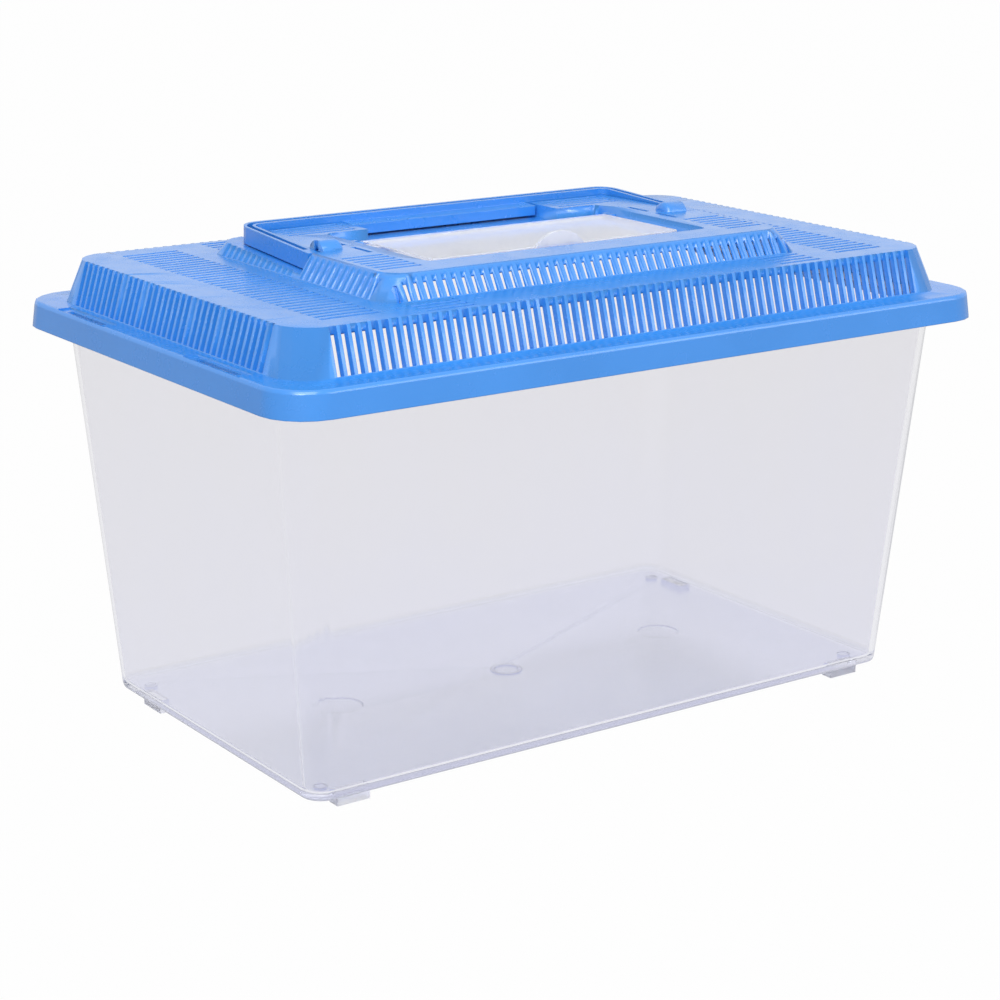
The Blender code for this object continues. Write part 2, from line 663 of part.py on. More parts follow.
def make_windows(lid, cutters):
    """Snap windows near the ledge's outer edge on both short sides, each in a shallow recess, with a lug below."""
    window_x = LID_LENGTH / 2 - LID_WALL - WINDOW_WIDTH
    lug_top = RIM_TOP - RIM_LIP_HEIGHT - SEAT_GAP
    for side in (-1, 1):
        for end in (-1, 1):
            name = f"{'right' if side > 0 else 'left'}_{'rear' if end > 0 else 'front'}"
            middle = end * WINDOW_SPREAD / 2
            near, far = window_x, window_x + WINDOW_WIDTH
            half = WINDOW_LENGTH / 2
            spans = {
                "window_recess_": (
                    near - WINDOW_RECESS_MARGIN, far, half + WINDOW_RECESS_OVERLENGTH / 2,
                    LEDGE_TOP - WINDOW_RECESS_DEPTH, LEDGE_TOP + OVERRUN, "DIFFERENCE",
                ),
                "window_": (
                    near, far - LID_EDGE_ROUND, half, LEDGE_TOP - LID_WALL - OVERRUN, LEDGE_TOP + OVERRUN,
                    "DIFFERENCE",
                ),
                "lug_": (
                    LID_LENGTH / 2 - LID_WALL - LUG_REACH, LID_LENGTH / 2 - LID_WALL + LUG_ROOT, half,
                    lug_top - LUG_HEIGHT, lug_top, "UNION",
                ),
            }
            for label, (low_x, high_x, reach, low_z, high_z, operation) in spans.items():
                ends = sorted((side * low_x, side * high_x))
                tool = block(
                    label + name, (ends[0], middle - reach, low_z), (ends[1], middle + reach, high_z), cutters
                )
                combine(lid, as_cutter(tool), operation)


def add_hatch_ear(lid, side, cutters):
    """One upright ear beside the hatch, which holds a hinge pin."""
    near = HATCH_LENGTH / 2 + EAR_SIDE_GAP
    far = near + EAR_THICKNESS
    half = EAR_LENGTH / 2
    ends = sorted((side * near, side * far))
    ear = block(
        f"ear_{side}", (ends[0], HINGE_Y - half, POCKET_FLOOR - LID_WALL / 2),
        (ends[1], HINGE_Y + half, HATCH_TOP), cutters,
    )
    combine(lid, as_cutter(ear), "UNION")
    span = sorted((side * (near - OVERRUN), side * (far + OVERRUN)))
    bore = rod_along_x(f"ear_bore_{side}", HINGE_PIN_RADIUS + PIN_CLEARANCE, *span, HINGE_Y, HINGE_Z, cutters)
    combine(lid, as_cutter(bore), "DIFFERENCE")
    neck_half = EAR_NECK_WIDTH / 2
    neck = block(
        f"ear_neck_{side}", (span[0], HINGE_Y - neck_half, HINGE_Z), (span[1], HINGE_Y + neck_half, TIER_TOP), cutters
    )
    combine(lid, as_cutter(neck), "DIFFERENCE")


def bore_barrel(lid, side, cutters):
    """The handle pin's blind bore, from the notch through the core's wall into the barrel."""
    deep = BARREL_OUTER_X - BARREL_LENGTH + BARREL_END_WALL
    mouth = BARREL_OUTER_X + BARREL_STANDOFF + OVERRUN
    span = sorted((side * deep, side * mouth))
    bore = rod_along_x(f"barrel_bore_{side}", PIN_RADIUS + PIN_CLEARANCE, *span, PIVOT_Y, PIVOT_Z, cutters)
    combine(lid, as_cutter(bore), "DIFFERENCE")
    ends = sorted((side * (BARREL_OUTER_X - SEAT_GAP), side * mouth))
    half = BARREL_NECK_WIDTH / 2
    neck = block(
        f"barrel_neck_{side}", (ends[0], PIVOT_Y - half, PIVOT_Z),
        (ends[1], PIVOT_Y + half, PIVOT_Z + BARREL_RADIUS + OVERRUN), cutters,
    )
    combine(lid, as_cutter(neck), "DIFFERENCE")


def add_barrel(lid, side, cutters):
    """The boss that takes a handle pin, with a domed inner end."""
    inner = BARREL_OUTER_X - BARREL_LENGTH
    stations = [(side * BARREL_OUTER_X, BARREL_RADIUS)]
    for step in range(DOME_SEGMENTS + 1):
        angle = math.pi / 2 * step / DOME_SEGMENTS
        radius = BARREL_FACE_RADIUS + (BARREL_RADIUS - BARREL_FACE_RADIUS) * math.cos(angle)
        stations.append((side * (inner + BARREL_DOME * (1 - math.sin(angle))), radius))
    combine(lid, as_cutter(turned_along_x(f"barrel_{side}", stations, PIVOT_Y, PIVOT_Z, cutters)), "UNION")


def add_key_slots(lid, side, cutters):
    """Two narrow slots through the plateau beside a barrel, one before and one behind the pivot axis."""
    middle = side * (BARREL_OUTER_X - BARREL_LENGTH - KEY_SLOT_OFFSET)
    half = KEY_SLOT_WIDTH / 2
    for end in (-1, 1):
        near = end * KEY_SLOT_REACH - KEY_SLOT_LENGTH / 2
        far = end * KEY_SLOT_REACH + KEY_SLOT_LENGTH / 2
        key = block(
            f"key_slot_{side}_{end}", (middle - half, PIVOT_Y + near, TIER_TOP - LID_WALL - OVERRUN),
            (middle + half, PIVOT_Y + far, TIER_TOP + OVERRUN), cutters,
        )
        combine(lid, as_cutter(key), "DIFFERENCE")


def make_lid(parts, cutters):
    """The blue lid: skirt, ledge, slotted block and tier, hatch pocket, handle notch and pivots."""
    lid = loft("lid", lid_levels(), parts)
    cavity = loft("lid_cavity", cavity_levels(), cutters)
    combine(cavity, make_notch("notch_inner", LID_WALL, cutters), "DIFFERENCE")
    combine(lid, as_cutter(cavity), "DIFFERENCE")

    well_low = POCKET_FLOOR - LID_WALL
    well_high = TIER_TOP - LID_WALL / 2
    for label, outline in (("pocket_well", pocket_outline(LID_WALL)), ("recess_well", recess_outline(LID_WALL))):
        combine(lid, as_cutter(prism(label, outline, well_low, well_high, cutters)), "UNION")
    for side in (-1, 1):
        add_barrel(lid, side, cutters)
    combine(lid, make_notch("notch_outer", 0, cutters), "DIFFERENCE")
    sky = TIER_TOP + OVERRUN
    combine(lid, as_cutter(prism("pocket", pocket_outline(0), POCKET_FLOOR, sky, cutters)), "DIFFERENCE")
    combine(lid, as_cutter(prism("recess", recess_outline(0), POCKET_FLOOR, sky, cutters)), "DIFFERENCE")
    opening = prism("opening", opening_outline(), well_low - OVERRUN, POCKET_FLOOR + OVERRUN, cutters)
    combine(lid, as_cutter(opening), "DIFFERENCE")
    for side in (-1, 1):
        add_hatch_ear(lid, side, cutters)
        bore_barrel(lid, side, cutters)
        add_key_slots(lid, side, cutters)
    make_windows(lid, cutters)
    for slots in (
        make_block_slots(cutters), make_tier_slots(cutters), make_seat_grooves(cutters), make_top_slots(cutters)
    ):
        combine(lid, slots, "DIFFERENCE")
    lid.data.materials.append(plastic("blue_lid_plastic", BLUE, 0.25, 0.0))
    smooth(lid, math.radians(40))
    return lid


# Handle


def bail_band(name, outer, inner, front_y, low, high, collection):
    """A U-shaped band between two offsets from the handle's outer face."""
    outline = bail_line(outer, front_y) + bail_line(inner, front_y)[::-1]
    return prism(name, outline, low, high, collection)


def round_tail(item):
    """Round the lower front edge of both arm ends, so that they swing clear of their seat."""
    bm = bmesh.new()
    bm.from_mesh(item.data)
    tolerance = OVERRUN / 10
    edges = [
        edge for edge in bm.edges
        if all(abs(v.co.y + BAIL_TAIL) < tolerance and abs(v.co.z + BAIL_BELOW_PIVOT) < tolerance for v in edge.verts)
    ]
    bmesh.ops.bevel(bm, geom=edges, offset=BAIL_TAIL_ROUND, segments=4, affect="EDGES", profile=0.5)
    bm.to_mesh(item.data)
    bm.free()


def make_handle(parts, cutters):
    """The folding carry handle, built about its pivot axis and tilted onto its seat."""
    place = Matrix.Translation((0, PIVOT_Y, PIVOT_Z)) @ Matrix.Rotation(BAIL_TILT, 4, "X")
    low, high = -BAIL_BELOW_PIVOT, BAIL_ABOVE_PIVOT
    handle = bail_band("handle", 0, BAIL_WIDTH, -BAIL_TAIL, low, high, parts)
    round_tail(handle)
    tools = []
    bar_inner = BAIL_REACH - BAIL_WIDTH
    half = GRIP_LENGTH / 2
    grip_top = high - GRIP_STEP
    grip = block(
        "grip", (-half, bar_inner - GRIP_WIDTH, low), (half, bar_inner + BAIL_WALL / 2, grip_top), cutters
    )
    tools.append((grip, "UNION"))
    hollow = block(
        "grip_hollow", (-half + GRIP_WALL, bar_inner - GRIP_WIDTH + GRIP_WALL, low - OVERRUN),
        (half - GRIP_WALL, bar_inner - GRIP_WALL / 2, grip_top - GRIP_WALL), cutters,
    )
    tools.append((hollow, "DIFFERENCE"))
    groove = bail_band(
        "groove", BAIL_WALL, BAIL_WIDTH - BAIL_WALL, BAIL_GROOVE_START, low + BAIL_WEB, high + OVERRUN, cutters
    )
    tools.append((groove, "DIFFERENCE"))
    for side in (-1, 1):
        inner_end = BARREL_OUTER_X - BARREL_LENGTH + BARREL_END_WALL + SEAT_GAP
        outer_end = BAIL_PIVOT_WIDTH / 2 - BAIL_WIDTH / 2
        pin = rod_along_x(f"pin_{side}", PIN_RADIUS, *sorted((side * inner_end, side * outer_end)), 0, 0, cutters)
        tools.append((pin, "UNION"))
    for tool, operation in tools:
        tool.matrix_world = place
        combine(handle, as_cutter(tool), operation)
    handle.matrix_world = place
    handle.data.materials.append(plastic("blue_handle_plastic", BLUE, 0.28, 0.0))
    smooth(handle)
    return handle


# Hatch


def tab_outline():
    """The half-moon finger tab as seen from the front, with its root sunk into the plate."""
    radius = (TAB_LENGTH ** 2 / 4 + TAB_HEIGHT ** 2) / (2 * TAB_HEIGHT)
    half_angle = math.asin(TAB_LENGTH / 2 / radius)
    centre = KNUCKLE_RADIUS + TAB_HEIGHT - radius
    root = KNUCKLE_RADIUS - HATCH_PLATE / 2
    arc = []
    for step in range(TAB_SEGMENTS + 1):
        angle = half_angle * (1 - 2 * step / TAB_SEGMENTS)
        arc.append((radius * math.sin(angle), centre + radius * math.cos(angle)))
    return [(-TAB_LENGTH / 2, root), (TAB_LENGTH / 2, root), *arc]


def make_gusset(side, cutters):
    """A small triangular web behind the finger tab, built from the tab's rear face."""
    middle = side * GUSSET_SPREAD / 2
    root = KNUCKLE_RADIUS - HATCH_PLATE / 2
    top = KNUCKLE_RADIUS + GUSSET_HEIGHT
    profile = [(-TAB_THICKNESS / 2, root), (GUSSET_LENGTH, root), (GUSSET_LENGTH, KNUCKLE_RADIUS), (0, top),
               (-TAB_THICKNESS / 2, top)]
    bm = bmesh.new()
    face = bm.faces.new([bm.verts.new((middle - GUSSET_THICKNESS / 2, y, z)) for y, z in profile])
    raised = bmesh.ops.extrude_face_region(bm, geom=[face])["geom"]
    moved = [item for item in raised if isinstance(item, bmesh.types.BMVert)]
    bmesh.ops.translate(bm, vec=(GUSSET_THICKNESS, 0, 0), verts=moved)
    return to_object(bm, f"gusset_{side}", cutters)


def make_hatch(parts, cutters):
    """The clear door, built about its hinge axis: plate, rim on three sides, knuckle, pins and finger tab."""
    place = Matrix.Translation((0, HINGE_Y, HINGE_Z))
    half = HATCH_LENGTH / 2
    front = -(HATCH_FRONT + HINGE_Y)
    rim_low = POCKET_FLOOR + SEAT_GAP - HINGE_Z
    plate_low = KNUCKLE_RADIUS - HATCH_PLATE
    corners = rectangle(-half, front, half, 0)
    outline = [
        *round_corner(corners[3], corners[0], corners[1], HATCH_CORNER_RADIUS),
        *round_corner(corners[0], corners[1], corners[2], HATCH_CORNER_RADIUS),
        corners[2], corners[3],
    ]
    hatch = prism("hatch", outline, rim_low, KNUCKLE_RADIUS, parts)
    under = block(
        "hatch_hollow", (-half + HATCH_RIM_WALL, front + HATCH_RIM_WALL, rim_low - OVERRUN),
        (half - HATCH_RIM_WALL, OVERRUN, plate_low), cutters,
    )
    tab = prism("finger_tab", tab_outline(), 0, TAB_THICKNESS, cutters)
    tools = [
        (under, "DIFFERENCE"),
        (rod_along_x("knuckle", KNUCKLE_RADIUS, -half, half, 0, 0, cutters), "UNION"),
        (rod_along_x("hinge_pins", HINGE_PIN_RADIUS, -half - HINGE_PIN_LENGTH, half + HINGE_PIN_LENGTH, 0, 0, cutters),
         "UNION"),
    ]
    for tool, operation in tools:
        tool.matrix_world = place
        combine(hatch, as_cutter(tool), operation)
    tab.matrix_world = place @ Matrix.Translation((0, front + TAB_THICKNESS, 0)) @ Matrix.Rotation(math.pi / 2, 4, "X")
    combine(hatch, as_cutter(tab), "UNION")
    for side in (-1, 1):
        gusset = make_gusset(side, cutters)
        gusset.matrix_world = place @ Matrix.Translation((0, front + TAB_THICKNESS, 0))
        combine(hatch, as_cutter(gusset), "UNION")
    hatch.matrix_world = place
    hatch.data.materials.append(plastic("clear_hatch_plastic", CLEAR, 0.05, 0.9))
    smooth(hatch)
    return hatch


def main():
    clear_scene()
    parts = new_collection(OBJECT_NAME)
    cutters = new_collection("cutters")
    make_tank(parts, cutters)
    make_lid(parts, cutters)
    make_handle(parts, cutters)
    make_hatch(parts, cutters)


main()
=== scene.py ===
"""Looks of the plastic aquarium: a clear moulded tub, its blue vented lid, the carry handle and the clear hatch."""

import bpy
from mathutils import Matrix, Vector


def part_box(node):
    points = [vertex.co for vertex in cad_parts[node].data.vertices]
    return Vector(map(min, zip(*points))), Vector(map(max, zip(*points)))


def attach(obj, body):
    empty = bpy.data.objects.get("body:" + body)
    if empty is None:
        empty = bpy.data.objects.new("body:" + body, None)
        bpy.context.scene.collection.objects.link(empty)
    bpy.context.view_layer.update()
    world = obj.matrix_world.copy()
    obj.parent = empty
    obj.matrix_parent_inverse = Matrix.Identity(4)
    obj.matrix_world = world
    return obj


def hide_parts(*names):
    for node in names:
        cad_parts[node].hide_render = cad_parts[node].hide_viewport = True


bl_info = {
    "name": "Plastic aquarium",
    "version": (1, 0, 0),
    "blender": (4, 5, 0),
    "location": "3D View > Sidebar > Aquarium",
    "description": "Dresses the packed plastic aquarium and lights it on a white table",
    "category": "Object",
}

import math

import bmesh
import bpy
from bpy.props import FloatProperty, FloatVectorProperty, PointerProperty
from bpy.types import Operator, Panel, PropertyGroup
from mathutils import Matrix, Vector

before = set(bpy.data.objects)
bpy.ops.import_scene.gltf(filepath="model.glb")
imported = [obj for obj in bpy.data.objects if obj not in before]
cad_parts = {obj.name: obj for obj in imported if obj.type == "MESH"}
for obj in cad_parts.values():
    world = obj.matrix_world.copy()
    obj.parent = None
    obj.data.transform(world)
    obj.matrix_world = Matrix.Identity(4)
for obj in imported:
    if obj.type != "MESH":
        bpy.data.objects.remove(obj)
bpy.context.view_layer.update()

# The camera that took the photograph, in the part's frame
CAMERA_PLACE = Vector((-0.51175, -0.72237, 0.32051))
CAMERA_YAW = 0.6140
CAMERA_PITCH = 0.2739
CAMERA_ROLL = 0.0035
CAMERA_FOCAL_PIXELS = 2449.8
PHOTO_PIXELS = 1000
SENSOR_MM = 36.0

# Heights and edges that the tint and the haze of the clear pieces follow, and the width of the painted highlight
# along the hatch's rim
_, TUB_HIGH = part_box("tank")
HATCH_LOW, HATCH_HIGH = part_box("hatch")
FOOT_HIGH = 0.0034
# Height of the band of painted shade just above the tub's floor
PAINTED_SHADE_BAND_HEIGHT = 0.0011
RIM_LOW = 0.1466
TAB_LOW = 0.1738
# Width of the band along the hatch's rim where white haze is a painted highlight
HATCH_HIGHLIGHT_RIM = 0.0010

# Corners nearer than this are welded, faces flatter than this are joined, and edges sharper than this stay crisp
WELD_DISTANCE = 0.000004
FLAT_ANGLE = math.radians(0.4)
CRISP_ANGLE = math.radians(40.0)
EDGE_SAMPLES = 4

# The tier's slots: where each row ends, how deep the cut through the wall lies, and how far it runs up the slope
TIER_END_PLAIN = 0.0065
TIER_SIDE_PLAIN = 0.0110
TIER_SIDE_LAST = -0.0066
TIER_SKIN = (0.0018, 0.0028)
TIER_RUN = (0.00035, 0.0066)
FRONT_TURNS, LEFT_TURNS, RIGHT_TURNS = 0, 3, 1

# Shades of a colour: where the blue is deepest and lightest, in the painted shade just above the tub's floor, and
# where the hatch is dullest
DEEP_BLUE = 0.95
LIGHT_BLUE = 1.04
LIGHT_BLUE_LIFT = 0.004
PAINTED_SHADE_DARKENING = 0.93
DULL_HATCH = 0.93

# Plastics: a ray that has met more faces than MOST_FACES goes straight through
PLASTIC_IOR = 1.5
BLUE_SPECULAR = 0.8
MOST_FACES = 3.5
HAZE_COLOUR = (0.95, 0.95, 0.97, 1.0)
HAZE_LIT_BEFORE = 0.6

# The studio: where the lamps stand and how large they are, and the colours of the table and the sky
LAMPS = {
    "key": ((-0.7, -0.9, 1.5), (1.2, 1.2)),
    "fill": ((0.85, -1.15, 0.85), (1.0, 0.8)),
    "strip": ((-1.05, -0.95, 1.00), (0.45, 0.7)),
}
LAMP_TARGET = Vector((0.0, 0.0, 0.08))
TABLE_REACH = 12.0
TABLE_GREY = (0.32, 0.32, 0.33, 1.0)
TABLE_ROUGHNESS = 0.6
SKY_COLOUR = (0.97, 0.98, 1.0, 1.0)
WHITE = (1.0, 1.0, 1.0, 1.0)


class TubSettings(PropertyGroup):
    """Finish of the clear tub."""

    floor_top: FloatProperty(
        name="Floor top", description="Height of the floor's upper face", default=0.0062, unit="LENGTH"
    )
    upper_tint: FloatVectorProperty(
        name="Upper tint", description="Colour that a wall lets through below the rim", subtype="COLOR",
        default=(0.882, 0.878, 0.896), min=0.0, max=1.0,
    )
    lower_tint: FloatVectorProperty(
        name="Lower tint", description="Colour that a wall lets through above the floor", subtype="COLOR",
        default=(0.872, 0.872, 0.920), min=0.0, max=1.0,
    )
    floor_tint: FloatVectorProperty(
        name="Floor tint", description="Colour that the floor lets through", subtype="COLOR",
        default=(0.835, 0.848, 0.935), min=0.0, max=1.0,
    )
    gloss: FloatProperty(
        name="Roughness", description="Roughness of the polished walls", subtype="FACTOR", default=0.03,
        min=0.0, max=1.0,
    )
    edge_radius: FloatProperty(
        name="Edge radius", description="Radius of the moulded edges", default=0.0008, unit="LENGTH"
    )
    scuffs: FloatProperty(
        name="Floor scuffs", description="Roughness added in the scuffed floor", subtype="FACTOR", default=0.13,
        min=0.0, max=1.0,
    )
    scuffs_top: FloatProperty(
        name="Scuffed below", description="Height below which that is added", default=0.0063, unit="LENGTH"
    )
    milk: FloatProperty(
        name="Milky rim", description="Share of white haze in the rim below the lid", subtype="FACTOR", default=0.75,
        min=0.0, max=1.0,
    )
    foot_milk: FloatProperty(
        name="Milky feet", description="Share of white haze in the feet", subtype="FACTOR", default=0.5,
        min=0.0, max=1.0,
    )


class LidSettings(PropertyGroup):
    """Finish of the blue mouldings, and the tier's slots."""

    blue: FloatVectorProperty(
        name="Blue", description="Colour of the lid and handle", subtype="COLOR", default=(0.036, 0.254, 0.735),
        min=0.0, max=1.0,
    )
    gloss: FloatProperty(
        name="Roughness", description="Mean roughness of the blue plastic", subtype="FACTOR", default=0.24,
        min=0.0, max=1.0,
    )
    edge_radius: FloatProperty(
        name="Edge radius", description="Radius of the moulded edges", default=0.0004, unit="LENGTH"
    )
    tier_length: FloatProperty(
        name="Tier length", description="Length of the tier at its foot", default=0.182, unit="LENGTH"
    )
    tier_depth: FloatProperty(
        name="Tier depth", description="Depth of the tier at its foot", default=0.121, unit="LENGTH"
    )
    tier_foot: FloatProperty(name="Tier foot", description="Height of the tier's foot", default=0.166, unit="LENGTH")
    tier_lean: FloatProperty(
        name="Tier lean", description="Angle by which the tier's walls lean inwards", default=0.48686,
        subtype="ANGLE", unit="ROTATION",
    )
    slot_pitch: FloatProperty(name="Slot pitch", description="Spacing of the slots", default=0.00384, unit="LENGTH")
    slot_width: FloatProperty(
        name="Slot width", description="Width of a slot on the wall's inside", default=0.00196, unit="LENGTH"
    )


class HatchSettings(PropertyGroup):
    """Finish of the clear hatch."""

    tint: FloatVectorProperty(
        name="Tint", description="Colour that the hatch lets through", subtype="COLOR", default=(0.830, 0.850, 0.925),
        min=0.0, max=1.0,
    )
    gloss: FloatProperty(
        name="Roughness", description="Roughness of the hatch", subtype="FACTOR", default=0.06, min=0.0, max=1.0
    )
    edge_radius: FloatProperty(
        name="Edge radius", description="Radius of the moulded edges", default=0.0003, unit="LENGTH"
    )
    milk: FloatProperty(
        name="Milkiness", description="Share of white haze in the plastic", subtype="FACTOR", default=0.08,
        min=0.0, max=1.0,
    )
    # In the finger tab this is white haze; in the plate's rim it is a painted highlight
    tab_haze_and_rim_highlight: FloatProperty(
        name="Milky tab", description="Share of white haze in the finger tab and the plate's rim", subtype="FACTOR",
        default=0.5, min=0.0, max=1.0,
    )
    rounding: FloatProperty(
        name="Edge rounding", description="Rounding of the hatch's edges", default=0.00035, unit="LENGTH"
    )


class StudioSettings(PropertyGroup):
    """Light and floor of the studio."""

    key_power: FloatProperty(name="Key power", description="Power of the large soft lamp", default=17.0, unit="POWER")
    fill_power: FloatProperty(name="Fill power", description="Power of the side lamp", default=6.5, unit="POWER")
    strip_power: FloatProperty(
        name="Strip power", description="Power of the small lamp that lights the corners", default=8.0, unit="POWER"
    )
    sky: FloatProperty(
        name="Sky", description="Strength of the even light from all round", subtype="FACTOR", default=0.46,
        min=0.0, max=1.0,
    )
    floor_glow: FloatProperty(
        name="Floor white", description="Share of plain white in the floor, as cameras and clear plastic see it",
        subtype="FACTOR", default=0.985, min=0.0, max=1.0,
    )
    floor_gloss: FloatProperty(
        name="Floor in gloss", description="Share of that white which reflections see", subtype="FACTOR", default=0.6,
        min=0.0, max=1.0,
    )


# Nodes


def new_material(name):
    """A new material, with its node tree and its Principled shader."""
    material = bpy.data.materials.new(name)
    material.use_nodes = True
    tree = material.node_tree
    return material, tree, tree.nodes["Principled BSDF"]


def put(tree, value, socket):
    """Link a socket's value to another socket, or set a plain value on it."""
    if isinstance(value, bpy.types.NodeSocket):
        tree.links.new(value, socket)
    else:
        socket.default_value = value


def add_node(tree, kind, **inputs):
    """Add a node and set its sockets by name, with underscores for spaces."""
    node = tree.nodes.new(kind)
    for label, value in inputs.items():
        put(tree, value, node.inputs[label.replace("_", " ")])
    return node


def calculate(tree, operation, first, second):
    """A Math node's result."""
    node = tree.nodes.new("ShaderNodeMath")
    node.operation = operation
    put(tree, first, node.inputs[0])
    put(tree, second, node.inputs[1])
    return node.outputs[0]


def object_place(tree):
    """Where a point lies on its piece."""
    return tree.nodes.new("ShaderNodeTexCoord").outputs["Object"]


def axes_of(tree, place):
    """The X, Y and Z of a place."""
    return add_node(tree, "ShaderNodeSeparateXYZ", Vector=place).outputs


def stretched(tree, place, scale):
    """A place with its axes scaled, for streaks."""
    return add_node(tree, "ShaderNodeMapping", Vector=place, Scale=scale).outputs["Vector"]


def grain(tree, place, scale, detail):
    """Noise over a piece."""
    return add_node(tree, "ShaderNodeTexNoise", Vector=place, Scale=scale, Detail=detail).outputs["Fac"]


def remap(tree, value, low, high):
    """Spread a noise value, which mostly lies between 0.3 and 0.7, over a wanted range."""
    node = add_node(tree, "ShaderNodeMapRange", Value=value, From_Min=0.3, From_Max=0.7, To_Min=low, To_Max=high)
    return node.outputs["Result"]


def mixed_colour(tree, share, low, high):
    """A colour between two others, each a socket or a tint."""
    blend = add_node(tree, "ShaderNodeMix")
    blend.data_type = "RGBA"
    tree.links.new(share, blend.inputs["Factor"])
    colours = [socket for socket in blend.inputs if socket.type == "RGBA"]
    for socket, value in zip(colours, (low, high)):
        put(tree, value if isinstance(value, bpy.types.NodeSocket) else (*value, 1.0), socket)
    return next(socket for socket in blend.outputs if socket.type == "RGBA")


def mixed_shader(tree, share, first, second):
    """A Mix Shader node between two shader nodes."""
    blend = tree.nodes.new("ShaderNodeMixShader")
    put(tree, share, blend.inputs[0])
    tree.links.new(first.outputs[0], blend.inputs[1])
    tree.links.new(second.outputs[0], blend.inputs[2])
    return blend


def rounded_bump(tree, radius, height, strength, distance):
    """Normals of a bumpy face whose edges shade as if they were rounded."""
    edge = add_node(tree, "ShaderNodeBevel", Radius=radius)
    edge.samples = EDGE_SAMPLES
    bump = add_node(
        tree, "ShaderNodeBump", Strength=strength, Distance=distance, Height=height, Normal=edge.outputs["Normal"]
    )
    return bump.outputs["Normal"]


# Plastics


def blue_plastic(name, settings):
    """Bright blue polypropylene: even colour, a fine moulded grain and softly rounded edges that catch the light."""
    material, tree, shader = new_material(name)
    place = object_place(tree)
    deep = tuple(DEEP_BLUE * channel for channel in settings.blue)
    light = tuple(min(1.0, LIGHT_BLUE * channel + LIGHT_BLUE_LIFT) for channel in settings.blue)
    cloud = grain(tree, place, scale=22.0, detail=3.0)
    tree.links.new(mixed_colour(tree, remap(tree, cloud, 0.0, 1.0), deep, light), shader.inputs["Base Color"])
    smear = grain(tree, place, scale=140.0, detail=4.0)
    tree.links.new(remap(tree, smear, settings.gloss - 0.05, settings.gloss + 0.06), shader.inputs["Roughness"])
    shader.inputs["IOR"].default_value = PLASTIC_IOR
    shader.inputs["Specular IOR Level"].default_value = BLUE_SPECULAR
    skin = grain(tree, place, scale=1500.0, detail=2.0)
    normal = rounded_bump(tree, settings.edge_radius, skin, strength=0.25, distance=0.00002)
    tree.links.new(normal, shader.inputs["Normal"])
    return material


def clear_plastic(name, settings, tint, milk, scuffs=None):
    """Clear polystyrene with flow lines from the moulding, faint rubs and some white haze.

    tint, milk and scuffs are functions that return the sockets for its colour, its haze (with any painted highlight)
    and any added roughness.
    A ray that has met many faces, and one from a lamp, goes straight through, so the edges don't turn black.
    """
    material, tree, shader = new_material(name)
    place = object_place(tree)
    colour = tint(tree, place, settings)
    tree.links.new(colour, shader.inputs["Base Color"])
    shader.inputs["Transmission Weight"].default_value = 1.0
    shader.inputs["IOR"].default_value = PLASTIC_IOR
    rubs = grain(tree, stretched(tree, place, (1.0, 1.0, 7.0)), scale=60.0, detail=6.0)
    roughness = remap(tree, rubs, settings.gloss * 0.6, settings.gloss * 1.6)
    if scuffs:
        roughness = calculate(tree, "ADD", roughness, scuffs(tree, place, settings))
    tree.links.new(roughness, shader.inputs["Roughness"])
    flow = grain(tree, stretched(tree, place, (1.0, 1.0, 0.35)), scale=18.0, detail=1.0)
    normal = rounded_bump(tree, settings.edge_radius, flow, strength=0.12, distance=0.0006)
    tree.links.new(normal, shader.inputs["Normal"])
    lit_behind = add_node(tree, "ShaderNodeBsdfTranslucent", Color=HAZE_COLOUR)
    lit_before = add_node(tree, "ShaderNodeBsdfDiffuse", Color=HAZE_COLOUR)
    haze = mixed_shader(tree, HAZE_LIT_BEFORE, lit_behind, lit_before)
    cloudy = mixed_shader(tree, milk(tree, place, settings), shader, haze)
    rays = tree.nodes.new("ShaderNodeLightPath")
    late = calculate(tree, "GREATER_THAN", rays.outputs["Ray Depth"], MOST_FACES)
    straight = calculate(tree, "MAXIMUM", rays.outputs["Is Shadow Ray"], late)
    through = add_node(tree, "ShaderNodeBsdfTransparent", Color=colour)
    blend = mixed_shader(tree, straight, cloudy, through)
    tree.links.new(blend.outputs[0], tree.nodes["Material Output"].inputs["Surface"])
    return material


def tub_tint(tree, place, settings):
    """Grey below the rim, cooler towards the floor, faintly blue in the floor, with the cloudiness of a moulding, and
    a band of painted shade just above the floor where it meets the walls.
    """
    height = axes_of(tree, place)["Z"]
    cloud = grain(tree, stretched(tree, place, (1.0, 1.0, 0.5)), scale=26.0, detail=4.0)
    drift = remap(tree, cloud, -0.16, 0.16)
    rise = add_node(
        tree, "ShaderNodeMapRange", Value=height, From_Min=settings.floor_top, From_Max=TUB_HIGH.z
    ).outputs["Result"]
    walls = mixed_colour(tree, calculate(tree, "ADD", rise, drift), settings.lower_tint, settings.upper_tint)
    # A narrow darker band just above the floor: painted shade where the walls meet the floor
    painted_shade_band = calculate(tree, "LESS_THAN", height, settings.floor_top + PAINTED_SHADE_BAND_HEIGHT)
    walls = mixed_colour(tree, painted_shade_band, walls, tuple(PAINTED_SHADE_DARKENING * channel for channel in settings.lower_tint))
    in_walls = calculate(tree, "GREATER_THAN", height, settings.floor_top)
    return mixed_colour(tree, in_walls, settings.floor_tint, walls)


def tub_milk(tree, place, settings):
    """Haze in the rim and the feet only."""
    height = axes_of(tree, place)["Z"]
    rim = calculate(tree, "MULTIPLY", calculate(tree, "GREATER_THAN", height, RIM_LOW), settings.milk)
    feet = calculate(tree, "MULTIPLY", calculate(tree, "LESS_THAN", height, FOOT_HIGH), settings.foot_milk)
    return calculate(tree, "MAXIMUM", rim, feet)


